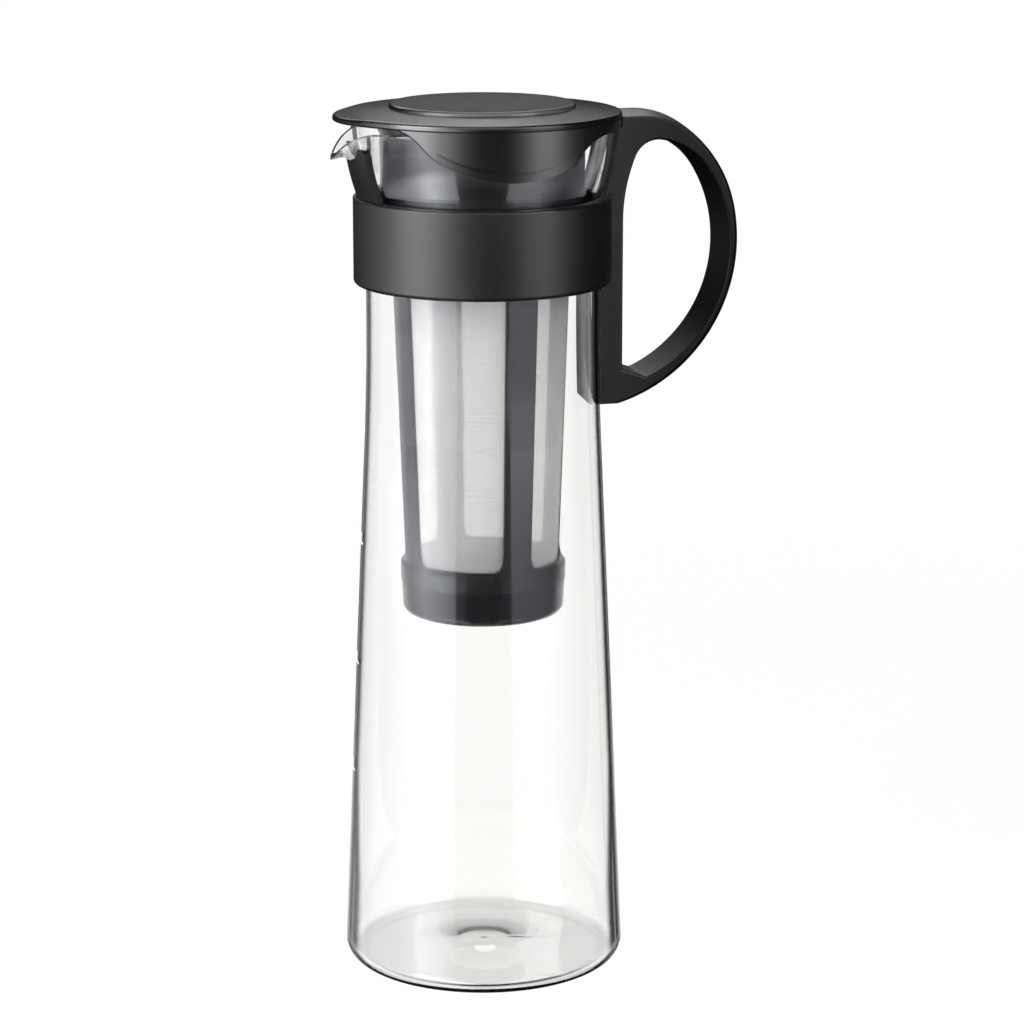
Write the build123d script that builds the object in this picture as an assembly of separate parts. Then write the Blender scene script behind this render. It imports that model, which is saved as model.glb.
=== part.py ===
from build123d import *
import math
import os

# Cold brew coffee maker: a tall glass carafe with a pulled spout, a split neck band locked by a
# D-loop handle, a hanging strainer with a mesh sleeve and a twist-off base, and a lift-off lid.
# Millimetres. The origin is the centre of the base on the surface that the pot stands on.
# +Z is up, +X points to the handle and -X to the spout.

# Glass carafe
WALL = 2.0
PUNT_R = 36.0
PUNT_HEIGHT = 3.0
PUNT_CROWN_R = 55.0
FLOOR_THICKNESS = 2.4
FLOOR_RISE = 2.4
HEEL_R = 6.0
INNER_HEEL_R = 4.0
TAPER_ANGLE = 2.55
WAIST_R = 37.3
WAIST_BEND_R = 800.0
WAIST_BOTTOM = 214.0
FLARE_START = 250.8
FLARE_IN_R = 12.0
FLARE_OUT_R = 71.0
FLARE_ANGLE = 19.5
RIM_ANGLE = 2.0

# Pulled spout, as round upright sections: (reach from the axis, height of the keel, radius)
SPOUT_SECTIONS = (
    (33.0, 254.5, 18.5),
    (36.5, 258.4, 15.6),
    (39.6, 262.8, 12.2),
    (42.0, 265.4, 10.2),
    (44.2, 267.0, 8.4),
    (46.6, 267.3, 5.9),
    (48.6, 266.8, 3.9),
    (51.0, 266.2, 2.8),
)
SPOUT_LIP_START = (37.5, 275.8)
SPOUT_LIP_ANGLE = 9.0
SPOUT_LIP_TURN = 56.0
SPOUT_LIP_R = 15.5
SPOUT_LIP_LEAD = 12.0
SPOUT_LIP_TAIL = 8.0

# Neck band
BAND_R = 41.3
BAND_BOTTOM = 226.0
BAND_TOP = 254.0
BAND_EDGE_R = 1.4
BAND_GAP = 12.0
HOOK_THICKNESS = 2.2
HOOK_R = 42.7
TONGUE_WIDTH = 26.5
TONGUE_THICKNESS = 2.2
TONGUE_KEEL_THICKNESS = 1.2
TONGUE_REACH = 42.9
TONGUE_TOP = 270.8
TONGUE_HORN_R = 1.9
TONGUE_SADDLE_DEPTH = 4.6
TONGUE_SADDLE_SIZE = (9.4, 6.5)

# Handle
HANDLE_WIDTH = 20.5
HANDLE_RUN = 50.4
HANDLE_TURNS = (30.5, 47.2, 87.3)
HANDLE_CROWN_TOP = 279.9
HANDLE_CROWN_RADII = (25.4, 43.6, 54.0)
HANDLE_EDGE_TOP = 278.4
HANDLE_EDGE_RADII = (22.4, 39.4, 54.0)
LOOP_X = 44.0
LOOP_START = 245.2
LOOP_ARCS = ((54.0, 22.4), (8.1, 77.6), (23.6, 47.3), (45.2, 100.0))
LOOP_BOTTOM = 197.0
LOOP_CORNER_R = 2.5
LOOP_EDGE_R = 0.8
HANDLE_EDGE_R = 0.5
HANDLE_ROOT_X = 30.0
HANDLE_SOUND_X = 38.0
SPINE_GAP = 0.4
FLARE_GAP = 1.4
HOOK_CLEARANCE = 0.05
LID_ROOM_R = 44.65
LID_ROOM_Z = 275.2

# Strainer
FLANGE_R = 42.0
FLANGE_BOTTOM = 277.15
FLANGE_THICKNESS = 1.25
FLANGE_FILLET = 2.5
POUR_NOTCH_ANGLE = 96.0
POUR_NOTCH_GAP = 0.6
CUP_R = 32.7
CUP_BOTTOM = 254.0
FRAME_TOP_R = 29.9
FRAME_TOP = 242.0
FRAME_BOTTOM_R = 25.8
FRAME_BOTTOM = 135.6
FRAME_WALL = 1.5
WINDOW_TOP = 229.0
WINDOW_BOTTOM = 136.0
WINDOW_CORNER_R = 4.0
RIB_ANGLE = 21.2
RIB_START = 10.4
RIB_COUNT = 4
COLLAR_R = 26.8
COLLAR_BOTTOM = 129.3
COLLAR_TOP = 134.6
SKIRT_R = 25.0
SKIRT_BOTTOM = 121.0
MESH_THICKNESS = 0.4
MESH_BOTTOM = 131.0
MESH_TOP = 234.0

# Twist-off strainer base
CAP_R = 26.6
CAP_FOOT_R = 26.2
CAP_BOTTOM = 118.0
CAP_TOP = 129.2
CAP_FLOOR = 1.8
CAP_EDGE_R = 3.0
CAP_BORE_R = 25.15
LUG_COUNT = 3
LUG_R = 25.7
LUG_ANGLE = 12.0
LUG_BOTTOM = 123.0
LUG_HEIGHT = 1.6
LUG_PLAY = 0.15
CAP_TURN = 30.0
CAP_TURN_PLAY = 2.0

# Lid
BRIM_R = 44.3
BRIM_BOTTOM = 278.5
BRIM_EDGE_TOP = 280.8
BRIM_BEAK_TIP = 48.0
BRIM_BEAK_R = 28.0
BRIM_TOP_EDGE_R = 1.0
BRIM_LOW_EDGE_R = 0.7
PAD_R = 29.8
PAD_BASE = 282.1
PAD_TOP = 283.4
PAD_EDGE_R = 1.1
FLAP_R = 44.05
FLAP_INNER_R = 42.7
FLAP_EDGE_R = 0.45
FLAP_LOW = (-1.5, 263.2)
FLAP_SPOUT_SIDE = ((-36.0, 278.6), (-31.5, 277.1), (-28.2, 273.6), (-24.0, 269.3))
FLAP_HANDLE_SIDE = ((20.0, 267.7), (22.6, 271.2), (28.0, 274.5), (35.0, 275.6))
SMILE = ((-24.5, 272.6), (-2.0, 266.5), (19.5, 270.9))
SMILE_GROOVE_WIDTH = 0.9
SMILE_GROOVE_DEPTH = 0.95
SMILE_LIP_DEPTH = 0.35
PLUG_R = 30.8
PLUG_WALL = 1.5
PLUG_CHAMFER = (0.5, 1.0)
PLUG_BOTTOM = 269.5

# Cutting bodies reach this far, which is past everything that they cut
CUT_REACH = 70.0
OVERLAP = 1.0

ON_BASE = (Align.CENTER, Align.CENTER, Align.MIN)


def heading(angle):
    """Unit direction at an angle in degrees, counter-clockwise from the profile's first axis."""
    return (math.cos(math.radians(angle)), math.sin(math.radians(angle)))


def profile_face(*lines):
    """Face in the XZ plane bounded by lines that are given as radius and height."""
    return Plane.XZ * make_face(Curve() + list(lines))


def turned(*lines):
    """Solid of revolution about the vertical axis."""
    return revolve(profile_face(*lines), Axis.Z)


def turned_polyline(*points):
    return turned(Polyline(*points, close=True))


def lies_at_radius(edge, radius):
    """True if an edge runs over the cylinder of this radius about the vertical axis."""
    points = (edge @ 0.3, edge @ 0.7)
    return all(abs(math.hypot(point.X, point.Y) - radius) < 0.01 for point in points)


# ---------------------------------------------------------------- glass carafe

def neck_line(gap, bottom):
    """Taper, waist and flare of the glass, moved outwards by gap, from a height to the rim."""
    taper = math.radians(TAPER_ANGLE)
    bend_start = WAIST_BOTTOM - WAIST_BEND_R * math.sin(taper)
    bend_r = WAIST_R + WAIST_BEND_R * (1 - math.cos(taper))
    bottom_r = bend_r + (bend_start - bottom) * math.tan(taper) + gap / math.cos(taper)
    bend = (bend_r + gap * math.cos(taper), bend_start + gap * math.sin(taper))
    wall = Line((bottom_r, bottom), bend)
    waist_bend = JernArc(wall @ 1, wall % 1, WAIST_BEND_R - gap, -TAPER_ANGLE)
    waist = Line(waist_bend @ 1, (WAIST_R + gap, FLARE_START))
    flare_in = JernArc(waist @ 1, waist % 1, FLARE_IN_R - gap, -FLARE_ANGLE)
    flare_out = JernArc(flare_in @ 1, flare_in % 1, FLARE_OUT_R + gap, FLARE_ANGLE - RIM_ANGLE)
    return [wall, waist_bend, waist, flare_in, flare_out]


def neck_envelope(gap):
    """Solid body of revolution that fills the carafe out to gap outside its wall."""
    line = neck_line(gap, HEEL_R)
    top = line[-1] @ 1
    bottom = line[0] @ 0
    return turned(*line, Polyline(top, (0, top.Y), (0, bottom.Y), bottom))


def spout_trough(inset):
    """Trough that grows out of the neck to the lip, lofted through upright circles less inset."""
    sections = []
    for reach, keel, radius in SPOUT_SECTIONS:
        sections.append(Plane.YZ.offset(-reach) * Pos(0, keel + radius) * Circle(radius - inset))
    return loft(sections)


def heel_to_wall(gap, floor, radius):
    """Heel arc, tangent to the floor and the wall, and the line of the wall above it."""
    taper = math.radians(TAPER_ANGLE)
    line = neck_line(gap, floor + radius * (1 + math.sin(taper)))
    start = ((line[0] @ 0).X - radius * math.cos(taper), floor)
    return JernArc(start, (1, 0), radius, 90 + TAPER_ANGLE), line


def push_up(floor, height):
    """Raised middle of the base: a round crown on the axis that runs out flat at PUNT_R."""
    turn = 2 * math.atan(height / PUNT_R)
    run_out_r = PUNT_R / math.sin(turn) - PUNT_CROWN_R
    crown = JernArc((0, floor + height), (1, 0), PUNT_CROWN_R, -math.degrees(turn))
    return crown, JernArc(crown @ 1, crown % 1, run_out_r, math.degrees(turn))


def glass_carafe():
    heel, outer = heel_to_wall(0, 0, HEEL_R)
    rim = JernArc(outer[-1] @ 1, outer[-1] % 1, WALL / 2, 180)
    outside = turned(
        *push_up(0, PUNT_HEIGHT),
        Line((PUNT_R, 0), heel @ 0),
        heel,
        *outer,
        rim,
        Polyline(rim @ 1, (0, (rim @ 1).Y), (0, PUNT_HEIGHT)),
    )
    inner_heel, inner = heel_to_wall(-WALL, FLOOR_THICKNESS, INNER_HEEL_R)
    hollow = turned(
        *push_up(FLOOR_THICKNESS, FLOOR_RISE),
        Line((PUNT_R, FLOOR_THICKNESS), inner_heel @ 0),
        inner_heel,
        *inner,
        Polyline(inner[-1] @ 1, (0, (inner[-1] @ 1).Y), (0, FLOOR_THICKNESS + FLOOR_RISE)),
    )
    mouth = inner[-1] @ 1
    opening = Pos(0, 0, mouth.Y) * Cylinder(mouth.X, CUT_REACH, align=ON_BASE)
    above = Pos(0, 0, (rim @ 0.5).Y) * Cylinder(CUT_REACH, CUT_REACH, align=ON_BASE)
    glass = outside + spout_trough(0)
    glass -= hollow + opening + spout_trough(WALL)
    return glass - spout_lip_cut() - above


def spout_lip_cut():
    """Everything above the curve that the lip of the spout follows, seen from the side."""
    start_r, start_z = SPOUT_LIP_START
    start = (-start_r, start_z)
    slope = heading(180 + SPOUT_LIP_ANGLE)
    lip = JernArc(start, slope, SPOUT_LIP_R, SPOUT_LIP_TURN)
    back = (start[0] - SPOUT_LIP_LEAD * slope[0], start[1] - SPOUT_LIP_LEAD * slope[1])
    tail = (lip @ 1) + (lip % 1) * SPOUT_LIP_TAIL
    top = start_z + CUT_REACH
    lead = Line(back, start)
    rest = Polyline(lip @ 1, tail, (-CUT_REACH, tail.Y), (-CUT_REACH, top), (back[0], top), back)
    return extrude(profile_face(lead, lip, rest), CUT_REACH, both=True)


# ---------------------------------------------------------------- neck band

def band_ring(grow):
    """C-shaped ring with hooked ends, grown on all its faces by grow."""
    height = BAND_TOP - BAND_BOTTOM
    half_gap = BAND_GAP / 2 - grow
    hook_y = BAND_GAP / 2 + HOOK_THICKNESS + grow
    to_handle = (Align.MIN, Align.CENTER, Align.MIN)
    ring = Cylinder(BAND_R + grow, height, align=ON_BASE)
    hooks = Cylinder(HOOK_R + grow, height, align=ON_BASE)
    hooks &= Box(CUT_REACH, 2 * hook_y, height, align=to_handle)
    gap = Box(CUT_REACH, 2 * half_gap, height, align=to_handle)
    return Pos(0, 0, BAND_BOTTOM) * (ring + hooks - gap)


def tongue_outline():
    """Front view of the tongue: straight sides, two rounded horns and a saddle between them."""
    plate = Pos(0, (TONGUE_TOP + BAND_BOTTOM) / 2) * Rectangle(
        TONGUE_WIDTH, TONGUE_TOP - BAND_BOTTOM)
    plate = fillet(plate.vertices().group_by(Axis.Y)[-1], TONGUE_HORN_R)
    saddle_y = TONGUE_TOP - TONGUE_SADDLE_DEPTH + TONGUE_SADDLE_SIZE[1]
    return plate - Pos(0, saddle_y) * Ellipse(*TONGUE_SADDLE_SIZE)


def neck_band():
    ring = band_ring(0)
    low = ring.faces().sort_by(Axis.Z)[0].edges()
    ring = fillet([edge for edge in low if lies_at_radius(edge, BAND_R)], BAND_EDGE_R)
    high = ring.faces().sort_by(Axis.Z)[-1].edges()
    ring = fillet([edge for edge in high if lies_at_radius(edge, BAND_R)], BAND_EDGE_R / 2)
    front = extrude(Plane.YZ * tongue_outline(), -CUT_REACH)
    reach = Pos(0, 0, BAND_TOP) * Cylinder(TONGUE_REACH, CUT_REACH)
    cradle = neck_envelope(TONGUE_THICKNESS) + (spout_trough(-TONGUE_KEEL_THICKNESS) & reach)
    tongue = (cradle & front) - spout_trough(0)
    return ring + tongue - neck_envelope(0)


# ---------------------------------------------------------------- handle

def handle_outline(top, radii):
    """Side view of the handle's outer edge, closed inside the neck."""
    run = Line((HANDLE_ROOT_X, top), (HANDLE_RUN, top))
    arcs = []
    last = run
    for radius, turn in zip(radii, HANDLE_TURNS):
        last = JernArc(last @ 1, last % 1, radius, -turn)
        arcs.append(last)
    tip = last @ 1
    return Curve() + [run, *arcs, Polyline(tip, (HANDLE_ROOT_X, tip.Y), run @ 0)]


def finger_loop():
    """Side view of the opening for the fingers."""
    side = Line((LOOP_X, LOOP_BOTTOM), (LOOP_X, LOOP_START))
    arcs = []
    last = side
    for radius, turn in LOOP_ARCS:
        last = JernArc(last @ 1, last % 1, radius, -turn)
        arcs.append(last)
    outline = make_face(Curve() + [side, *arcs, Line(last @ 1, side @ 0)])
    return fillet(outline.vertices().group_by(Axis.Y)[0], LOOP_CORNER_R)


def handle():
    half = HANDLE_WIDTH / 2
    edge = make_face(handle_outline(HANDLE_EDGE_TOP, HANDLE_EDGE_RADII))
    crown = make_face(handle_outline(HANDLE_CROWN_TOP, HANDLE_CROWN_RADII))
    sections = []
    for offset, outline in ((-half, edge), (0, crown), (half, edge)):
        sections.append(Plane.XZ.offset(offset) * outline)
    grip = loft(sections)
    sides = grip.faces().filter_by(Axis.Y).edges()
    sides = sides.filter_by(lambda edge: edge.center().X > HANDLE_SOUND_X)
    grip = fillet(sides, HANDLE_EDGE_R)
    grip -= extrude(Plane.XZ * finger_loop(), HANDLE_WIDTH, both=True)
    loop_edges = []
    for side in grip.faces().filter_by(Axis.Y):
        loop_edges += side.inner_wires()[0].edges()
    grip = fillet(loop_edges, LOOP_EDGE_R)
    grip -= neck_envelope(SPINE_GAP)
    above_band = Pos(0, 0, BAND_TOP) * Cylinder(CUT_REACH, CUT_REACH, align=ON_BASE)
    grip -= neck_envelope(FLARE_GAP) & above_band
    lid_room = Pos(0, 0, LID_ROOM_Z) * Cylinder(LID_ROOM_R, CUT_REACH, align=ON_BASE)
    return grip - lid_room - band_ring(HOOK_CLEARANCE)


# ---------------------------------------------------------------- strainer

def frame_radius(height):
    """Outside radius of the strainer's tapered frame at a height."""
    taper = (FRAME_TOP_R - FRAME_BOTTOM_R) / (FRAME_TOP - FRAME_BOTTOM)
    return FRAME_BOTTOM_R + (height - FRAME_BOTTOM) * taper


def strainer_frame():
    flange_top = FLANGE_BOTTOM + FLANGE_THICKNESS
    wall_top = FLANGE_BOTTOM - FLANGE_FILLET
    bore = SKIRT_R - FRAME_WALL
    body = turned(
        Polyline((FRAME_BOTTOM_R, FRAME_BOTTOM), (COLLAR_R, COLLAR_TOP), (COLLAR_R, COLLAR_BOTTOM),
                 (SKIRT_R, COLLAR_BOTTOM), (SKIRT_R, SKIRT_BOTTOM), (bore, SKIRT_BOTTOM),
                 (bore, MESH_BOTTOM), (frame_radius(MESH_BOTTOM) - FRAME_WALL, MESH_BOTTOM),
                 (FRAME_TOP_R - FRAME_WALL, FRAME_TOP), (CUP_R - FRAME_WALL, CUP_BOTTOM),
                 (CUP_R - FRAME_WALL, flange_top), (FLANGE_R, flange_top),
                 (FLANGE_R, FLANGE_BOTTOM), (CUP_R + FLANGE_FILLET, FLANGE_BOTTOM)),
        RadiusArc((CUP_R + FLANGE_FILLET, FLANGE_BOTTOM), (CUP_R, wall_top), FLANGE_FILLET),
        Polyline((CUP_R, wall_top), (CUP_R, CUP_BOTTOM), (FRAME_TOP_R, FRAME_TOP),
                 (FRAME_BOTTOM_R, FRAME_BOTTOM)),
    )
    body -= pour_notch()
    body -= PolarLocations(0, RIB_COUNT, start_angle=RIB_START + 180 / RIB_COUNT) * window()
    return body + PolarLocations(0, LUG_COUNT) * bayonet_sector(LUG_R, 0, 0, LUG_ANGLE)


def window():
    """Cutter for one window between two ribs: a rounded panel that widens from the axis."""
    open_angle = 360 / RIB_COUNT - RIB_ANGLE
    spread = math.tan(math.radians(open_angle / 2))
    panels = []
    height = WINDOW_TOP - WINDOW_BOTTOM
    for reach in (FRAME_BOTTOM_R / 2, FRAME_TOP_R + FRAME_BOTTOM_R / 2):
        panel = RectangleRounded(2 * reach * spread, height, WINDOW_CORNER_R)
        panels.append(Plane.YZ.offset(reach) * Pos(0, (WINDOW_TOP + WINDOW_BOTTOM) / 2) * panel)
    return loft(panels)


def pour_notch():
    """Part of the flange that is left out over the spout."""
    inner_r = CUP_R + POUR_NOTCH_GAP
    height = FLANGE_FILLET + FLANGE_THICKNESS + OVERLAP
    section = Plane.XZ * Pos(inner_r, FLANGE_BOTTOM - FLANGE_FILLET) * Rectangle(
        FLANGE_R, height, align=(Align.MIN, Align.MIN))
    return Rot(0, 0, 180 - POUR_NOTCH_ANGLE / 2) * revolve(section, Axis.Z, POUR_NOTCH_ANGLE)


def bayonet_sector(radius, play, start, angle):
    """Ring sector at the height of the bayonet lugs, from inside the skirt out to radius."""
    inner_r = SKIRT_R - FRAME_WALL / 2
    section = Plane.XZ * Pos(inner_r, LUG_BOTTOM - play) * Rectangle(
        radius - inner_r, LUG_HEIGHT + 2 * play, align=(Align.MIN, Align.MIN))
    return Rot(0, 0, start - angle / 2) * revolve(section, Axis.Z, angle)


def mesh_sleeve():
    inner_low = frame_radius(MESH_BOTTOM) - FRAME_WALL
    inner_high = frame_radius(MESH_TOP) - FRAME_WALL
    return turned_polyline(
        (inner_low, MESH_BOTTOM), (inner_high, MESH_TOP),
        (inner_high - MESH_THICKNESS, MESH_TOP), (inner_low - MESH_THICKNESS, MESH_BOTTOM))


def strainer_base():
    cup = turned(
        Polyline((0, CAP_BOTTOM), (CAP_FOOT_R - CAP_EDGE_R, CAP_BOTTOM)),
        JernArc((CAP_FOOT_R - CAP_EDGE_R, CAP_BOTTOM), (1, 0), CAP_EDGE_R, 90),
        Polyline((CAP_FOOT_R, CAP_BOTTOM + CAP_EDGE_R), (CAP_R, CAP_TOP), (CAP_BORE_R, CAP_TOP),
                 (CAP_BORE_R, CAP_BOTTOM + CAP_FLOOR), (0, CAP_BOTTOM + CAP_FLOOR),
                 (0, CAP_BOTTOM)),
    )
    groove_r = LUG_R + LUG_PLAY
    lug_angle = LUG_ANGLE + CAP_TURN_PLAY
    slide = bayonet_sector(groove_r, LUG_PLAY, -CAP_TURN / 2, CAP_TURN + lug_angle)
    entry = bayonet_sector(groove_r, 0, -CAP_TURN, lug_angle)
    entry += Pos(0, 0, CAP_TOP - LUG_BOTTOM - LUG_HEIGHT) * entry
    return cup - PolarLocations(0, LUG_COUNT) * (slide + entry)


# ---------------------------------------------------------------- lid

def brim():
    """Egg-shaped plate with a sloping top, a round raised pad and rounded edges."""
    beak = Pos(-(BRIM_BEAK_TIP - BRIM_BEAK_R), 0) * Circle(BRIM_BEAK_R)
    outline = make_hull(Circle(BRIM_R).edges() + beak.edges())
    plate = extrude(Pos(0, 0, BRIM_BOTTOM) * outline, CUT_REACH)
    slope = (PAD_BASE - BRIM_EDGE_TOP) / (BRIM_R - PAD_R)
    reach = BRIM_BEAK_TIP + OVERLAP
    dome = turned_polyline(
        (0, BRIM_BOTTOM - OVERLAP), (reach, BRIM_BOTTOM - OVERLAP),
        (reach, BRIM_EDGE_TOP - (reach - BRIM_R) * slope), (PAD_R, PAD_BASE), (0, PAD_BASE))
    plate &= dome
    rim = plate.edges().filter_by(lambda edge: edge.center().Z > BRIM_BOTTOM + OVERLAP)
    plate = fillet(rim.filter_by(lambda edge: edge.length > 2 * PAD_R), BRIM_TOP_EDGE_R)
    keel = plate.edges().filter_by(lambda edge: abs(edge.center().Z - BRIM_BOTTOM) < 0.01)
    plate = fillet(keel, BRIM_LOW_EDGE_R)
    pad = Pos(0, 0, BRIM_BOTTOM) * Cylinder(PAD_R, PAD_TOP - BRIM_BOTTOM, align=ON_BASE)
    pad = fillet(pad.edges().sort_by(Axis.Z)[-1], PAD_EDGE_R)
    return plate + pad


def skirt_outline():
    """Front view of the skirt: a deep flap between two S-curves and a low wall to the handle."""
    spout_side = Spline(*FLAP_SPOUT_SIDE)
    handle_side = Spline(*FLAP_HANDLE_SIDE)
    low = ThreePointArc(spout_side @ 1, FLAP_LOW, handle_side @ 0)
    end = handle_side @ 1
    reach = BRIM_R + OVERLAP
    top = BRIM_BOTTOM + OVERLAP
    back = Polyline(end, (reach, end.Y), (reach, top), (FLAP_SPOUT_SIDE[0][0], top),
                    spout_side @ 0)
    return profile_face(spout_side, low, handle_side, back)


def flap_keep(depth):
    """Cylinder that meets the flap's outside at both ends of the smile and cuts it depth deep."""
    (start_x, _), _, (end_x, _) = SMILE
    start_y = math.sqrt(FLAP_R ** 2 - start_x ** 2)
    end_y = math.sqrt(FLAP_R ** 2 - end_x ** 2)
    half = math.hypot(end_x - start_x, end_y - start_y) / 2
    sagitta = FLAP_R - math.sqrt(FLAP_R ** 2 - half ** 2) - depth
    radius = (half ** 2 + sagitta ** 2) / (2 * sagitta)
    middle = ((start_x + end_x) / 2, (start_y + end_y) / 2)
    back = (radius - sagitta) / math.hypot(*middle)
    centre = (middle[0] - middle[0] * back, middle[1] - middle[1] * back)
    return Pos(centre[0], -centre[1], BAND_TOP) * Cylinder(radius, CUT_REACH, align=ON_BASE)


def smile_cutters():
    """Groove above the grip lip, blunt at the spout side, and the lip under it, both as prisms."""
    start, low, end = SMILE
    smile = ThreePointArc(start, low, end)
    foot = (start[0] + SMILE_GROOVE_WIDTH / 2, start[1] - SMILE_GROOVE_WIDTH)
    shelf = ThreePointArc(foot, (low[0], low[1] - SMILE_GROOVE_WIDTH), end)
    below = Polyline(end, (end[0], BAND_TOP), (start[0], BAND_TOP), start)
    return profile_face(smile, Line(start, foot), shelf), profile_face(smile, below)


def skirt():
    """Wall that hangs outside the glass, with a crescent grip along the flap's lower edge."""
    low = FLAP_LOW[1] - OVERLAP
    top = BRIM_BOTTOM + OVERLAP
    wall = turned_polyline((FLAP_INNER_R, low), (FLAP_R, low), (FLAP_R, top), (FLAP_INNER_R, top))
    wall &= extrude(skirt_outline(), CUT_REACH, both=True)
    low_edges = wall.edges().filter_by(
        lambda edge: edge.center().Z < BRIM_BOTTOM and lies_at_radius(edge, FLAP_R))
    wall = fillet(low_edges, FLAP_EDGE_R)
    groove, lip = smile_cutters()
    cut = extrude(groove, CUT_REACH) - flap_keep(SMILE_GROOVE_DEPTH)
    cut += extrude(lip, CUT_REACH) - flap_keep(SMILE_LIP_DEPTH)
    return wall - cut - mirror(cut, Plane.XZ)


def lid():
    top = BRIM_BOTTOM + OVERLAP
    plug_inner_r = PLUG_R - PLUG_WALL
    inset, rise = PLUG_CHAMFER
    plug = turned_polyline(
        (PLUG_R, top), (PLUG_R, PLUG_BOTTOM + rise), (PLUG_R - inset, PLUG_BOTTOM),
        (plug_inner_r, PLUG_BOTTOM), (plug_inner_r, top))
    return brim() + skirt() + plug


NODES = {
    "glass_carafe": glass_carafe,
    "neck_band": neck_band,
    "handle": handle,
    "strainer_frame": strainer_frame,
    "mesh_sleeve": mesh_sleeve,
    "strainer_base": strainer_base,
    "lid": lid,
}


if __name__ == "__main__":
    os.makedirs("parts", exist_ok=True)
    for node, build in NODES.items():
        shape = build()
        print(node, shape.is_valid, round(shape.volume, 1), shape.bounding_box())
        export_step(shape, f"parts/{node}.step")
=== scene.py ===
import math

import bpy
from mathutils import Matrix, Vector


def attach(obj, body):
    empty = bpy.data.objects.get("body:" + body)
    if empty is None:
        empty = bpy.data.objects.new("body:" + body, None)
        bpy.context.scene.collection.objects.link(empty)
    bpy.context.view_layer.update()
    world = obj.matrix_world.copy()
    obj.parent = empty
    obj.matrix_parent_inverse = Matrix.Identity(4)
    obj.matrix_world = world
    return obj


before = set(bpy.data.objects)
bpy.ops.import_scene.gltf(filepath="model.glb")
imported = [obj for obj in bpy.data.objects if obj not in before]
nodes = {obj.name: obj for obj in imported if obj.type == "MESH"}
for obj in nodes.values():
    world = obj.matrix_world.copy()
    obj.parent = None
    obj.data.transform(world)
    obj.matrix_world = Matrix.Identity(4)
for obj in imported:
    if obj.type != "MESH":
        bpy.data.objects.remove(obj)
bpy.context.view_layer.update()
print("frame loaded:", ", ".join(sorted(nodes)))

# small helpers, used by every piece below


def clearSelection():
    if bpy.context.object and bpy.context.object.mode != "OBJECT":
        bpy.ops.object.mode_set(mode="OBJECT")
    bpy.ops.object.select_all(action="DESELECT")


def newMaterial(name):
    mat = bpy.data.materials.new(name)
    mat.use_nodes = True
    tree = mat.node_tree
    return mat, tree, tree.nodes["Principled BSDF"]


def feed(tree, socket, value):
    # a number or a colour goes on the socket itself, and another node's output is linked to it
    if isinstance(value, (int, float, tuple)):
        socket.default_value = value
    else:
        tree.links.new(value, socket)


def maths(tree, operation, first, second=0.0, third=0.0):
    node = tree.nodes.new("ShaderNodeMath")
    node.operation = operation
    feed(tree, node.inputs[0], first)
    feed(tree, node.inputs[1], second)
    feed(tree, node.inputs[2], third)
    return node.outputs[0]


def vectorMaths(tree, operation, first, second=(0, 0, 0)):
    # for the operations that give a number
    node = tree.nodes.new("ShaderNodeVectorMath")
    node.operation = operation
    feed(tree, node.inputs[0], first)
    feed(tree, node.inputs[1], second)
    return node.outputs["Value"]


def remap(tree, source, low, high, toLow, toHigh):
    ranger = tree.nodes.new("ShaderNodeMapRange")
    ranger.inputs["From Min"].default_value = low
    ranger.inputs["From Max"].default_value = high
    ranger.inputs["To Min"].default_value = toLow
    ranger.inputs["To Max"].default_value = toHigh
    tree.links.new(source, ranger.inputs["Value"])
    return ranger.outputs["Result"]


def rampOf(tree, source, stops):
    # grey values against places on the ramp, as pairs
    ramp = tree.nodes.new("ShaderNodeValToRGB")
    points = ramp.color_ramp.elements
    while len(points) < len(stops):
        points.new(0.5)
    for point, (place, grey) in zip(points, stops):
        point.position = place
        point.color = (grey, grey, grey, 1)
    tree.links.new(source, ramp.inputs["Fac"])
    return ramp.outputs["Color"]


def blendColours(tree, factor, dark, light):
    mix = tree.nodes.new("ShaderNodeMix")
    mix.data_type = "RGBA"
    for end, colour in (("A", dark), ("B", light)):
        feed(tree, mix.inputs[end], (*colour, 1) if isinstance(colour, tuple) else colour)
    tree.links.new(factor, mix.inputs["Factor"])
    return mix.outputs["Result"]


def blendShaders(tree, factor, first, second):
    mix = tree.nodes.new("ShaderNodeMixShader")
    feed(tree, mix.inputs["Fac"], factor)
    tree.links.new(first, mix.inputs[1])
    tree.links.new(second, mix.inputs[2])
    return mix.outputs["Shader"]


def objectPlace(tree):
    return tree.nodes.new("ShaderNodeTexCoord").outputs["Object"]


def splitPlace(tree, vector):
    split = tree.nodes.new("ShaderNodeSeparateXYZ")
    tree.links.new(vector, split.inputs["Vector"])
    return split.outputs["X"], split.outputs["Y"], split.outputs["Z"]


def objectNoise(tree, scale, detail=2.0, roughness=0.5):
    noise = tree.nodes.new("ShaderNodeTexNoise")
    noise.inputs["Scale"].default_value = scale
    noise.inputs["Detail"].default_value = detail
    noise.inputs["Roughness"].default_value = roughness
    tree.links.new(objectPlace(tree), noise.inputs["Vector"])
    return noise.outputs["Fac"]


def addBump(tree, shader, height, strength, distance):
    bump = tree.nodes.new("ShaderNodeBump")
    bump.inputs["Strength"].default_value = strength
    bump.inputs["Distance"].default_value = distance
    tree.links.new(height, bump.inputs["Height"])
    tree.links.new(bump.outputs["Normal"], shader.inputs["Normal"])


def showOnly(tree, shader):
    tree.links.new(shader, tree.nodes["Material Output"].inputs["Surface"])


# the part of its range that each noise really fills
cloudRange = (0.35, 0.65)
grainRange = (0.3, 0.7)


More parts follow.
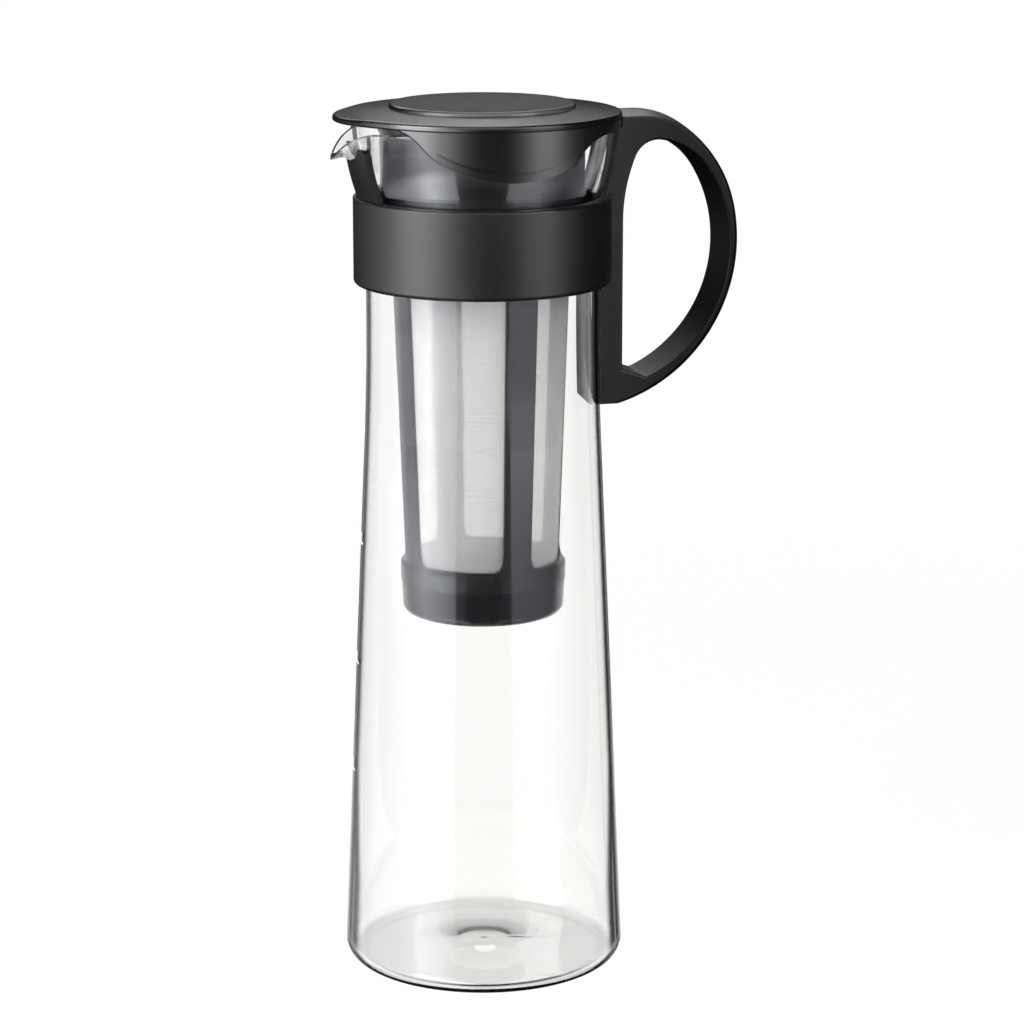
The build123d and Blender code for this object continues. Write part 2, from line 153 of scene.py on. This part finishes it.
def mouldedPlastic(name, look):
    # two colours in a slow cloud, a fine grain from the mould and a roughness that drifts with it
    mat, tree, shader = newMaterial(name)
    cloud = remap(tree, objectNoise(tree, look["cloudScale"]), *cloudRange, 0, 1)
    grain = objectNoise(tree, look["grainScale"], detail=3.0, roughness=0.6)
    colour = blendColours(tree, cloud, look["dark"], look["light"])
    tree.links.new(colour, shader.inputs["Base Color"])
    rough = remap(tree, grain, *grainRange, look["roughLow"], look["roughHigh"])
    tree.links.new(rough, shader.inputs["Roughness"])
    shader.inputs["Specular IOR Level"].default_value = look["specular"]
    addBump(tree, shader, grain, look["bump"], look["bumpDepth"])
    return mat


def dress(name, mat):
    nodes[name].data.materials.clear()
    nodes[name].data.materials.append(mat)


# neck band: matte black polypropylene

mattePlastic = {
    "dark": (0.0025, 0.0025, 0.0028),
    "light": (0.0045, 0.0045, 0.0048),
    "cloudScale": 60,
    "grainScale": 2600,
    "roughLow": 0.32,
    "roughHigh": 0.4,
    "specular": 0.35,
    "bump": 0.3,
    "bumpDepth": 0.0002,
}
dress("neck_band", mouldedPlastic("matteBlackPolypropylene", mattePlastic))

# handle: the same plastic, with its colour painted darker to stand for the shade on the handle

handlePlastic = {
    **mattePlastic,
    "dark": (0.0008, 0.0008, 0.001),
    "light": (0.0016, 0.0016, 0.0018),
    "specular": 0.2,
    # the sheen from the spine out to the strap
    "rubSpan": (0.044, 0.062),
    "rubSpecular": (0.25, 0.14),
}
matteHandle = mouldedPlastic("matteBlackHandle", handlePlastic)


def rubStrap(tree, shader):
    # the spine keeps a little sheen, and the strap, where a hand rubs it, goes duller
    along = splitPlace(tree, objectPlace(tree))[0]
    sheen = remap(tree, along, *handlePlastic["rubSpan"], *handlePlastic["rubSpecular"])
    tree.links.new(sheen, shader.inputs["Specular IOR Level"])


rubStrap(matteHandle.node_tree, matteHandle.node_tree.nodes["Principled BSDF"])
dress("handle", matteHandle)

# lid: the same resin with a satin skin

lidPlastic = {**mattePlastic, "roughLow": 0.17, "roughHigh": 0.22, "specular": 0.5, "bump": 0.15}
lidSkin = {
    "underBrim": 0.279,
    "padRadius": 0.03,
    # polish from the pad's middle out to its edge, and along the brim from the beak to the handle
    "pad": ((0.0, 1.12), (0.5, 1.06), (0.75, 0.8), (0.99, 0.5), (1.0, 0.5)),
    "brimSpan": (-0.048, 0.0443),
    "brim": (
        (0.0, 0.14),
        (0.06, 0.16),
        (0.1, 0.5),
        (0.15, 0.75),
        (0.3, 0.88),
        (0.45, 0.8),
        (0.57, 0.4),
        (0.7, 0.2),
        (1.0, 0.08),
    ),
    "brimTop": 1.6,
    # the step round the pad, where it turns to the front, and the colour of its painted highlight
    "stepInner": 0.0284,
    "stepFoot": 0.28195,
    "stepTurn": (0.3, 0.8),
    "stepHighlightColour": (0.1, 0.1, 0.1),
}


def lidPolish(tree, shader):
    x, y, z = splitPlace(tree, objectPlace(tree))
    reach = maths(tree, "SQRT", maths(tree, "MULTIPLY_ADD", x, x, maths(tree, "MULTIPLY", y, y)))
    onPad = maths(tree, "LESS_THAN", reach, lidSkin["padRadius"])
    pad = rampOf(tree, maths(tree, "DIVIDE", reach, lidSkin["padRadius"]), lidSkin["pad"])
    along = rampOf(tree, remap(tree, x, *lidSkin["brimSpan"], 0, 1), lidSkin["brim"])
    brim = maths(tree, "MULTIPLY", along, lidSkin["brimTop"])
    top = maths(tree, "MULTIPLY_ADD", onPad, maths(tree, "SUBTRACT", pad, brim), brim)
    above = maths(tree, "GREATER_THAN", z, lidSkin["underBrim"])
    polish = maths(tree, "MULTIPLY_ADD", above, maths(tree, "SUBTRACT", top, 1.0), 1.0)
    sheen = maths(tree, "MULTIPLY", polish, lidPlastic["specular"])
    tree.links.new(sheen, shader.inputs["Specular IOR Level"])
    # painted highlight: the step round the pad is coloured paler where it faces the front
    geometry = tree.nodes.new("ShaderNodeNewGeometry")
    front = maths(tree, "MULTIPLY", splitPlace(tree, geometry.outputs["Normal"])[1], -1.0)
    step = remap(tree, front, *lidSkin["stepTurn"], 0, 1)
    step = maths(tree, "MULTIPLY", step, maths(tree, "GREATER_THAN", reach, lidSkin["stepInner"]))
    step = maths(tree, "MULTIPLY", step, maths(tree, "GREATER_THAN", z, lidSkin["stepFoot"]))
    step = maths(tree, "MULTIPLY", step, onPad)
    plain = shader.inputs["Base Color"].links[0].from_socket
    tree.links.new(blendColours(tree, step, plain, lidSkin["stepHighlightColour"]), shader.inputs["Base Color"])


satinBlack = mouldedPlastic("satinBlackPolypropylene", lidPlastic)
lidPolish(satinBlack.node_tree, satinBlack.node_tree.nodes["Principled BSDF"])
dress("lid", satinBlack)
print("matte mouldings dressed")

# strainer frame and base: black resin with a smoother skin

strainerPlastic = {
    "dark": (0.003, 0.0032, 0.0038),
    "light": (0.005, 0.0052, 0.006),
    "cloudScale": 45,
    "grainScale": 1800,
    "roughLow": 0.2,
    "roughHigh": 0.28,
    "specular": 0.5,
    "bump": 0.06,
    "bumpDepth": 0.0002,
}
dress("strainer_frame", mouldedPlastic("glossBlackResin", strainerPlastic))
basePlastic = {**strainerPlastic, "roughLow": 0.11, "roughHigh": 0.14, "specular": 0.45}
dress("strainer_base", mouldedPlastic("glossBlackCup", basePlastic))
print("strainer dressed")

# mesh sleeve: white polyester weave, half see-through

weave = {
    "thread": (0.5, 0.5, 0.495),
    "shade": (0.44, 0.44, 0.44),
    "radius": 0.0265,
    "pitch": 0.00045,
    "roughness": 0.55,
    "bump": 0.4,
    "bumpDepth": 0.0002,
    "openness": 0.665,
    "glow": 0.45,
    # slow waves where the near and the far weave cross
    "waveCloud": 60,
    "wavePitch": 0.0013,
    "waveBend": 0.0024,
    "waveDepth": 0.035,
}


def wovenMesh():
    mat, tree, shader = newMaterial("whiteWovenMesh")
    x, y, z = splitPlace(tree, objectPlace(tree))
    turn = maths(tree, "ARCTAN2", y, x)
    around = maths(tree, "MULTIPLY", turn, weave["radius"] * 2 * math.pi / weave["pitch"])
    along = maths(tree, "MULTIPLY", z, 2 * math.pi / weave["pitch"])
    weft = maths(tree, "ABSOLUTE", maths(tree, "SINE", around))
    warp = maths(tree, "ABSOLUTE", maths(tree, "SINE", along))
    threads = maths(tree, "MAXIMUM", weft, warp)
    colour = blendColours(tree, threads, weave["shade"], weave["thread"])
    tree.links.new(colour, shader.inputs["Base Color"])
    shader.inputs["Roughness"].default_value = weave["roughness"]
    addBump(tree, shader, threads, weave["bump"], weave["bumpDepth"])
    thin = tree.nodes.new("ShaderNodeBsdfTranslucent")
    tree.links.new(colour, thin.inputs["Color"])
    gap = tree.nodes.new("ShaderNodeBsdfTransparent")
    soft = blendShaders(tree, weave["glow"], shader.outputs["BSDF"], thin.outputs["BSDF"])
    cloud = objectNoise(tree, weave["waveCloud"])
    bend = remap(tree, cloud, *grainRange, -weave["waveBend"], weave["waveBend"])
    rise = maths(tree, "ADD", z, bend)
    wave = maths(tree, "SINE", maths(tree, "MULTIPLY", rise, 2 * math.pi / weave["wavePitch"]))
    closed = maths(tree, "MULTIPLY_ADD", wave, weave["waveDepth"], 1 - weave["openness"])
    showOnly(tree, blendShaders(tree, closed, gap.outputs["BSDF"], soft))
    return mat


dress("mesh_sleeve", wovenMesh())
print("mesh dressed")

# carafe: clear glass with painted shade, a black share that grows where its walls turn away from the
# eye, so its edges go dark

glassLook = {
    "ior": 1.47,
    "clearTint": (1.0, 0.994, 0.98),
    "innerShare": 0.06,
    # the painted edge shade grows wider towards the foot, but the sole stays light
    "footHeights": (0.03, 0.07),
    "footWiden": 0.1,
    "soleHeights": (0.002, 0.009),
    "soleShare": 0.2,
    # on the handle side the painted shade is a little darker
    "sides": (0.0, 0.03),
    "handleSide": 1.16,
    # faces that lie level, from so far on, get the same painted shade all over
    "steepness": (0.5, 0.9),
    "flatShade": 0.16,
    # the rim and the spout stay light, with little of the painted shade
    "rimHeights": (0.254, 0.262),
    "rimShare": 0.12,
    # and the spout's folds are softened, as its lip is drawn out thin
    "spoutRoot": -0.0375,
    "spoutFoot": 0.264,
    "spoutThin": 0.2,
    # how much painted shade there is against how far the surface turns away from the eye
    "edge": (
        (0.0, 0.0),
        (0.5, 0.005),
        (0.62, 0.02),
        (0.675, 0.07),
        (0.705, 0.3),
        (0.73, 0.6),
        (0.76, 0.8),
        (0.8, 0.82),
        (0.842, 0.63),
        (0.911, 0.25),
        (1.0, 0.1),
    ),
}


def wallShares(tree):
    # the painted shade's shares: one on the carafe's outer skin and a smaller share inside, and how far
    # the wall is from level
    geometry = tree.nodes.new("ShaderNodeNewGeometry")
    # a ray that comes from inside the glass gets the normal turned round, so it is turned back
    flip = maths(tree, "MULTIPLY_ADD", geometry.outputs["Backfacing"], -2.0, 1.0)
    outward = vectorMaths(tree, "DOT_PRODUCT", geometry.outputs["Normal"], objectPlace(tree))
    isOuter = maths(tree, "GREATER_THAN", maths(tree, "MULTIPLY", outward, flip), 0.0)
    upright = splitPlace(tree, geometry.outputs["Normal"])[2]
    level = remap(tree, maths(tree, "ABSOLUTE", upright), *glassLook["steepness"], 0, 1)
    return remap(tree, isOuter, 0, 1, glassLook["innerShare"], 1), level


def clearGlass():
    mat, tree, shader = newMaterial("clearBorosilicate")
    shader.inputs["Transmission Weight"].default_value = 1
    shader.inputs["Roughness"].default_value = 0
    shader.inputs["IOR"].default_value = glassLook["ior"]
    shader.inputs["Base Color"].default_value = (*glassLook["clearTint"], 1)
    facing = tree.nodes.new("ShaderNodeLayerWeight").outputs["Facing"]
    place = splitPlace(tree, objectPlace(tree))
    across, height = place[0], place[2]
    widen = remap(tree, height, *glassLook["footHeights"], glassLook["footWiden"], 0)
    narrow = rampOf(tree, facing, glassLook["edge"])
    wide = rampOf(tree, maths(tree, "ADD", facing, widen), glassLook["edge"])
    edgeShade = maths(tree, "MAXIMUM", narrow, wide)
    share, level = wallShares(tree)
    steep = maths(tree, "SUBTRACT", 1.0, level)
    sole = remap(tree, height, *glassLook["soleHeights"], glassLook["soleShare"], 1)
    side = remap(tree, across, *glassLook["sides"], 1, glassLook["handleSide"])
    onWall = maths(tree, "MULTIPLY", maths(tree, "MULTIPLY", edgeShade, share), steep)
    onWall = maths(tree, "MULTIPLY", maths(tree, "MULTIPLY", onWall, sole), side)
    paintedShade = maths(tree, "MULTIPLY_ADD", level, glassLook["flatShade"], onWall)
    light = remap(tree, height, *glassLook["rimHeights"], 1, glassLook["rimShare"])
    paintedShade = maths(tree, "MULTIPLY", paintedShade, light)
    # the painted shade: a black diffuse mixed into the glass
    dark = tree.nodes.new("ShaderNodeBsdfDiffuse")
    dark.inputs["Color"].default_value = (0, 0, 0, 1)
    edged = blendShaders(tree, paintedShade, shader.outputs["BSDF"], dark.outputs["BSDF"])
    thin = tree.nodes.new("ShaderNodeBsdfTransparent")
    pastRoot = maths(tree, "LESS_THAN", across, glassLook["spoutRoot"])
    overFoot = maths(tree, "GREATER_THAN", height, glassLook["spoutFoot"])
    onSpout = maths(tree, "MULTIPLY", pastRoot, overFoot)
    softened = maths(tree, "MULTIPLY", onSpout, glassLook["spoutThin"])
    edged = blendShaders(tree, softened, edged, thin.outputs["BSDF"])
    # light falls through the glass, so it casts no black shadow
    rays = tree.nodes.new("ShaderNodeLightPath")
    unseen = tree.nodes.new("ShaderNodeBsdfTransparent")
    showOnly(tree, blendShaders(tree, rays.outputs["Is Shadow Ray"], edged, unseen.outputs["BSDF"]))
    return mat


dress("glass_carafe", clearGlass())
print("glass dressed")

# volume marks: a thin pale print on the outside of the glass, below the spout and round to the back

scaleMarks = {
    # heights of the marks, and their reach in degrees round from the front
    "lines": (0.0655, 0.1017, 0.1415),
    "dots": (0.082, 0.121),
    "lineSpan": (-112, -93),
    "lineHeight": 0.0007,
    "barSpan": (-100, -98),
    "barHeight": 0.0026,
    "barLift": 0.0018,
    "dotSpan": (-103, -100),
    "dotHeight": 0.0013,
    "thickness": 0.00006,
    "gap": 0.00003,
    "steps": 360,  # round the whole cone
    "white": (0.82, 0.82, 0.8),
    "cream": (0.7, 0.7, 0.67),
    "cloudScale": 400,
    "grainScale": 2500,
    "roughness": (0.45, 0.6),
}
# the outer skin below the waist, a plain cone
glassCone = {"radius": 0.03809, "height": 0.1784, "slope": math.tan(math.radians(2.55))}


def coneRadius(height):
    return glassCone["radius"] + (glassCone["height"] - height) * glassCone["slope"] + scaleMarks["gap"]


def printPatch(middle, height, span):
    clearSelection()
    low, high = middle - height / 2, middle + height / 2
    halfStep = 180 / scaleMarks["steps"]
    bpy.ops.mesh.primitive_cone_add(
        vertices=scaleMarks["steps"], radius1=coneRadius(low), radius2=coneRadius(high), depth=height,
        end_fill_type="NOTHING", location=(0, 0, middle))
    patch = bpy.context.object
    bpy.ops.object.transform_apply(location=True, rotation=True, scale=True)
    bpy.ops.object.mode_set(mode="EDIT")
    bpy.ops.mesh.select_mode(type="VERT")
    bpy.ops.mesh.select_all(action="DESELECT")
    bpy.ops.object.mode_set(mode="OBJECT")
    for vert in patch.data.vertices:
        turn = math.degrees(math.atan2(vert.co.x, -vert.co.y))
        vert.select = not span[0] - halfStep < turn < span[1] + halfStep
    bpy.ops.object.mode_set(mode="EDIT")
    bpy.ops.mesh.delete(type="VERT")
    bpy.ops.mesh.select_all(action="SELECT")
    bpy.ops.mesh.solidify(thickness=-scaleMarks["thickness"])
    bpy.ops.mesh.select_all(action="SELECT")
    bpy.ops.mesh.normals_make_consistent(inside=False)
    bpy.ops.object.mode_set(mode="OBJECT")
    return patch


def printScale():
    patches = []
    for middle in scaleMarks["lines"]:
        patches.append(printPatch(middle, scaleMarks["lineHeight"], scaleMarks["lineSpan"]))
        patches.append(
            printPatch(middle + scaleMarks["barLift"], scaleMarks["barHeight"], scaleMarks["barSpan"]))
    for middle in scaleMarks["dots"]:
        patches.append(printPatch(middle, scaleMarks["dotHeight"], scaleMarks["dotSpan"]))
    clearSelection()
    for patch in patches:
        patch.select_set(True)
    bpy.context.view_layer.objects.active = patches[0]
    bpy.ops.object.join()
    marks = bpy.context.object
    marks.name = "volume_marks"
    mat, tree, shader = newMaterial("paleScreenPrint")
    cloud = remap(tree, objectNoise(tree, scaleMarks["cloudScale"]), *cloudRange, 0, 1)
    colour = blendColours(tree, cloud, scaleMarks["cream"], scaleMarks["white"])
    tree.links.new(colour, shader.inputs["Base Color"])
    grain = objectNoise(tree, scaleMarks["grainScale"], roughness=0.6)
    tree.links.new(remap(tree, grain, *grainRange, *scaleMarks["roughness"]), shader.inputs["Roughness"])
    marks.data.materials.append(mat)
    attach(marks, "carafe")


printScale()
print("volume marks printed")

camera = {
    "location": (-0.2894, -1.0799, 0.4089),
    "tilt": 76.97,
    "turn": -15.485,
    "lens": 124.1,
    "sensor": 36,
    "reach": 50,
}

# studio: a white sweep behind, a box of light on either side and an unlit room in front

studio = {
    "floorSize": 12,
    "floorDrop": 0.0002,
    "floorColour": (0.86, 0.86, 0.86),
    "floorRoughness": 0.9,
    # the floor's own white, a little less near the object
    "nearGlow": 0.9,
    "nearRadius": 0.22,
    "farRadius": 0.7,
    "fill": 0.2,
    # the middle of the white sweep, in degrees round from the back and below level, and the cosines
    # of the angles from it at which the white starts and is full
    "sweepTurn": 15.485,
    "sweepDip": 15,
    "sweepCosine": (0.5, 0.75),
    # the same on the floor, in a wedge behind the object, and the patch under its sole
    "wedgeCosine": (0.47, 0.735),
    "wedgeTip": 0.015,
    "wedgeStart": 0.055,
    "soleRadius": 0.038,
    "throughGlass": 1.08,
    "seenHeight": (0.45, 0.75, 1.0, 0.15),
    # a reflection on the strainer comes after so many steps of a ray, or one fewer or more
    "insideSteps": 5,
    "insideSlack": 1.5,
}

# boxes of light that only reflections find: how bright against the degrees round the object, 0 on
# its front, and against the height of the direction, from -1 straight down to 1 straight up
leftInGlass = {
    "around": (
        (-180, 0.03),
        (-159, 0.05),
        (-141, 0.3),
        (-127, 0.7),
        (-100, 1.0),
        (-92, 1.4),
        (-78, 3.0),
        (-71, 3.9),
        (-58, 2.6),
        (-46, 1.5),
        (-41.5, 1.2),
        (-40, 0.04),
        (180, 0.03),
    ),
    "up": (
        (-1.0, 1.0),
        (-0.5, 1.0),
        (-0.42, 0.2),
        (-0.34, 0.15),
        (-0.29, 0.6),
        (-0.24, 1.0),
        (0.0, 1.1),
        (0.15, 0.3),
        (1.0, 0.25),
    ),
}
rightInGlass = {
    "around": ((-180, 0), (11, 0.0), (12.5, 0.6), (45, 0.58), (58, 0.3), (75, 0.0), (180, 0)),
    "up": (
        (-1.0, 1.6),
        (-0.5, 1.6),
        (-0.42, 0.2),
        (-0.3, 0.3),
        (-0.25, 0.45),
        (-0.2, 2.0),
        (0.0, 1.9),
        (0.15, 0.4),
        (1.0, 0.2),
    ),
}
tableInGlass = {
    "around": ((-180, 0.9), (180, 0.9)),
    "up": ((-1.0, 0.0), (-0.6, 0.0), (-0.45, 1.0), (-0.3, 0.95), (-0.26, 0.0), (1.0, 0.0)),
}
leftOnWalls = {
    "around": (
        (-180, 0.03),
        (-159, 0.05),
        (-141, 0.3),
        (-127, 0.8),
        (-110, 1.4),
        (-92, 2.0),
        (-78, 3.0),
        (-71, 3.4),
        (-58, 2.3),
        (-46, 1.4),
        (-41.5, 1.1),
        (-40, 0.04),
        (180, 0.03),
    ),
    "up": (
        (-1.0, 1.15),
        (-0.5, 1.15),
        (-0.42, 0.12),
        (-0.2, 0.12),
        (-0.165, 1.05),
        (-0.13, 0.45),
        (0.0, 0.45),
        (0.15, 0.3),
        (1.0, 0.25),
    ),
}
rightOnWalls = {
    "around": rightInGlass["around"],
    "up": (
        (-1.0, 1.6),
        (-0.5, 1.6),
        (-0.42, 0.05),
        (-0.2, 0.05),
        (-0.16, 0.3),
        (-0.13, 2.4),
        (0.0, 2.4),
        (0.15, 0.4),
        (1.0, 0.2),
    ),
}
leftInPlastic = {
    "around": (
        (-180, 0.04),
        (-159, 0.06),
        (-141, 0.35),
        (-127, 0.9),
        (-100, 2.8),
        (-85, 6.5),
        (-74, 8.5),
        (-60, 6.6),
        (-46, 4.3),
        (-38, 2.6),
        (-31, 1.2),
        (-24, 0.4),
        (-16, 0.15),
        (0, 0.12),
        (40, 0.03),
        (180, 0.03),
    ),
    "up": (
        (-1.0, 0.1),
        (-0.4, 0.15),
        (-0.3, 0.6),
        (-0.22, 1.0),
        (-0.05, 1.0),
        (0.05, 0.8),
        (0.15, 0.3),
        (1.0, 0.1),
    ),
}
rightInPlastic = {
    "around": (
        (-180, 0.0),
        (6, 0.0),
        (14, 0.5),
        (21, 1.4),
        (28, 2.6),
        (36, 3.3),
        (43, 3.2),
        (50, 2.1),
        (58, 1.0),
        (67, 0.4),
        (76, 0.1),
        (90, 0.0),
        (180, 0.0),
    ),
    "up": (
        (-1.0, 0.1),
        (-0.3, 0.3),
        (-0.25, 0.6),
        (-0.18, 1.0),
        (-0.05, 1.0),
        (0.05, 0.8),
        (0.15, 0.3),
        (1.0, 0.1),
    ),
}
backInPlastic = {
    "around": ((-180, 0.1), (-172, 0.03), (-160, 0), (130, 0), (150, 0.48), (172, 0.48), (180, 0.22)),
    "up": ((-1.0, 0.0), (0.1, 0.0), (0.24, 1.0), (1.0, 1.0)),
}
frontInPlastic = {
    "around": ((-180, 0), (-60, 0), (-45, 1.3), (15, 1.3), (30, 0), (180, 0)),
    "up": ((-1.0, 0.0), (0.02, 0.0), (0.12, 0.5), (0.3, 1.0), (1.0, 1.0)),
}
boxTint = (0.94, 0.98, 1.08)


def turnPlace(degrees):
    return degrees / 360 + 0.5


def sweepWay(turn, dip=0):
    # a direction from the object, so many degrees round from its back and below level
    turn = math.radians(turn)
    dip = math.radians(dip)
    return (math.cos(dip) * math.sin(turn), math.cos(dip) * math.cos(turn), -math.sin(dip))


def directlySeen(tree, rays, white):
    # one for the camera's own rays and for those that go through glass to the white side of the room
    through = maths(tree, "MULTIPLY", rays.outputs["Is Transmission Ray"], white)
    return maths(tree, "MAXIMUM", rays.outputs["Is Camera Ray"], through)


def whiteFloor(tree):
    # through glass the floor is white under the object and in a blunt wedge behind it
    place = objectPlace(tree)
    behind = vectorMaths(tree, "DOT_PRODUCT", place, sweepWay(studio["sweepTurn"]))
    aside = vectorMaths(tree, "DOT_PRODUCT", place, sweepWay(studio["sweepTurn"] + 90))
    beyond = maths(tree, "SUBTRACT", maths(tree, "ABSOLUTE", aside), studio["wedgeTip"])
    beyond = maths(tree, "MAXIMUM", beyond, 0.0)
    squares = maths(tree, "MULTIPLY_ADD", behind, behind, maths(tree, "MULTIPLY", beyond, beyond))
    cosine = maths(tree, "DIVIDE", behind, maths(tree, "SQRT", squares))
    wedge = remap(tree, cosine, *studio["wedgeCosine"], 0, 1)
    reach = vectorMaths(tree, "LENGTH", place)
    outside = maths(tree, "MULTIPLY", wedge, maths(tree, "GREATER_THAN", reach, studio["wedgeStart"]))
    return maths(tree, "MAXIMUM", outside, maths(tree, "LESS_THAN", reach, studio["soleRadius"]))


def layFloor():
    clearSelection()
    bpy.ops.mesh.primitive_plane_add(size=studio["floorSize"], location=(0, 0, -studio["floorDrop"]))
    floor = bpy.context.object
    floor.name = "floor"
    bpy.ops.object.transform_apply(location=True, rotation=True, scale=True)
    mat, tree, shader = newMaterial("paleFloor")
    shader.inputs["Base Color"].default_value = (*studio["floorColour"], 1)
    shader.inputs["Roughness"].default_value = studio["floorRoughness"]
    shader.inputs["Specular IOR Level"].default_value = 0
    glow = tree.nodes.new("ShaderNodeEmission")
    rays = tree.nodes.new("ShaderNodeLightPath")
    through = rays.outputs["Is Transmission Ray"]
    tree.links.new(remap(tree, through, 0, 1, 1, studio["throughGlass"]), glow.inputs["Strength"])
    distance = vectorMaths(tree, "LENGTH", objectPlace(tree))
    away = remap(tree, distance, studio["nearRadius"], studio["farRadius"], studio["nearGlow"], 1)
    seen = directlySeen(tree, rays, whiteFloor(tree))
    glowing = maths(tree, "MULTIPLY", seen, away)
    lit = blendShaders(tree, glowing, shader.outputs["BSDF"], glow.outputs["Emission"])
    # reflections look past the floor, as they do past a small table
    past = tree.nodes.new("ShaderNodeBsdfTransparent")
    mirror = maths(tree, "GREATER_THAN", rays.outputs["Is Glossy Ray"], seen)
    showOnly(tree, blendShaders(tree, mirror, lit, past.outputs["BSDF"]))
    floor.data.materials.append(mat)


def plainBackground(tree, strength, colour=(1, 1, 1)):
    node = tree.nodes.new("ShaderNodeBackground")
    node.inputs["Color"].default_value = (*colour, 1)
    feed(tree, node.inputs["Strength"], strength)
    return node.outputs["Background"]


def boxesOf(tree, turn, height, boxes, colour=(1, 1, 1)):
    # a turn from -180 to 180 degrees, and a height from -1 to 1, both lie from 0 to 1 on their ramps
    total = 0.0
    for box in boxes:
        around = rampOf(tree, turn, [(turnPlace(degrees), level) for degrees, level in box["around"]])
        up = rampOf(tree, height, [((place + 1) / 2, level) for place, level in box["up"]])
        total = maths(tree, "MULTIPLY_ADD", around, up, total)
    return plainBackground(tree, total, colour)


def setWorld():
    world = bpy.data.worlds.new("studioWorld")
    bpy.context.scene.world = world
    world.use_nodes = True
    tree = world.node_tree
    tree.nodes.remove(tree.nodes["Background"])
    rays = tree.nodes.new("ShaderNodeLightPath")
    coords = tree.nodes.new("ShaderNodeTexCoord")
    x, y, z = splitPlace(tree, coords.outputs["Generated"])
    turn = maths(tree, "ARCTAN2", x, maths(tree, "MULTIPLY", y, -1.0))
    turn = maths(tree, "MULTIPLY_ADD", turn, 1 / (2 * math.pi), 0.5)
    height = maths(tree, "MULTIPLY_ADD", z, 0.5, 0.5)
    inGlass = boxesOf(tree, turn, height, (leftInGlass, rightInGlass), boxTint)
    # the walls of the glass mirror the table after 1, 3 or 7 steps, and what stands inside after 5
    inWalls = boxesOf(tree, turn, height, (leftOnWalls, rightOnWalls, tableInGlass), boxTint)
    steps = maths(tree, "SUBTRACT", rays.outputs["Ray Depth"], studio["insideSteps"])
    onWall = maths(tree, "GREATER_THAN", maths(tree, "ABSOLUTE", steps), studio["insideSlack"])
    inGlass = blendShaders(tree, onWall, inGlass, inWalls)
    plasticBoxes = (leftInPlastic, rightInPlastic, backInPlastic, frontInPlastic)
    inPlastic = boxesOf(tree, turn, height, plasticBoxes)
    # only clear glass makes singular rays, and the rough plastics make the other reflections
    mirrored = blendShaders(tree, rays.outputs["Is Singular Ray"], inPlastic, inGlass)
    fill = plainBackground(tree, studio["fill"])
    unseen = blendShaders(tree, rays.outputs["Is Glossy Ray"], fill, mirrored)
    # a little over white behind the glass, which its walls take away again
    bright = remap(tree, rays.outputs["Is Transmission Ray"], 0, 1, 1, studio["throughGlass"])
    paler = remap(tree, z, *studio["seenHeight"])
    behind = plainBackground(tree, maths(tree, "MULTIPLY", bright, paler))
    sweep = sweepWay(studio["sweepTurn"], studio["sweepDip"])
    cosine = vectorMaths(tree, "DOT_PRODUCT", coords.outputs["Generated"], sweep)
    seen = directlySeen(tree, rays, remap(tree, cosine, *studio["sweepCosine"], 0, 1))
    whole = blendShaders(tree, seen, unseen, behind)
    tree.links.new(whole, tree.nodes["World Output"].inputs["Surface"])


# lamps that light what isn't shiny: from so many degrees round, so far up and so far off
lamps = {
    "leftBox": {
        "from": -73,
        "lift": 24,
        "away": 1.15,
        "size": (0.75, 1.0),
        "power": 22,
        "colour": (0.97, 0.98, 1.0),
    },
    "rightBox": {
        "from": 39,
        "lift": 24,
        "away": 1.15,
        "size": (0.6, 0.9),
        "power": 10,
        "colour": (0.99, 0.99, 1.0),
    },
    "topBox": {
        "from": 178,
        "lift": 46,
        "away": 1.2,
        "size": (1.0, 0.8),
        "power": 6,
        "colour": (1.0, 1.0, 1.0),
    },
}
lampTarget = Vector((0, 0, 0.17))


def hangLamps():
    for name, lamp in lamps.items():
        clearSelection()
        bpy.ops.object.light_add(type="AREA")
        light = bpy.context.object
        light.name = name
        light.data.shape = "RECTANGLE"
        light.data.size = lamp["size"][0]
        light.data.size_y = lamp["size"][1]
        light.data.energy = lamp["power"]
        light.data.color = lamp["colour"]
        turn = math.radians(lamp["from"])
        lift = math.radians(lamp["lift"])
        way = Vector((math.sin(turn) * math.cos(lift), -math.cos(turn) * math.cos(lift), math.sin(lift)))
        light.location = lampTarget + way * lamp["away"]
        light.rotation_euler = (-way).to_track_quat("-Z", "Y").to_euler()


def placeCamera():
    clearSelection()
    bpy.ops.object.camera_add(location=camera["location"])
    eye = bpy.context.object
    eye.rotation_euler = (math.radians(camera["tilt"]), 0, math.radians(camera["turn"]))
    eye.data.lens = camera["lens"]
    eye.data.sensor_width = camera["sensor"]
    eye.data.clip_end = camera["reach"]
    bpy.context.scene.camera = eye


layFloor()
setWorld()
hangLamps()
placeCamera()
bpy.context.scene.view_settings.view_transform = "Standard"
print("studio ready")
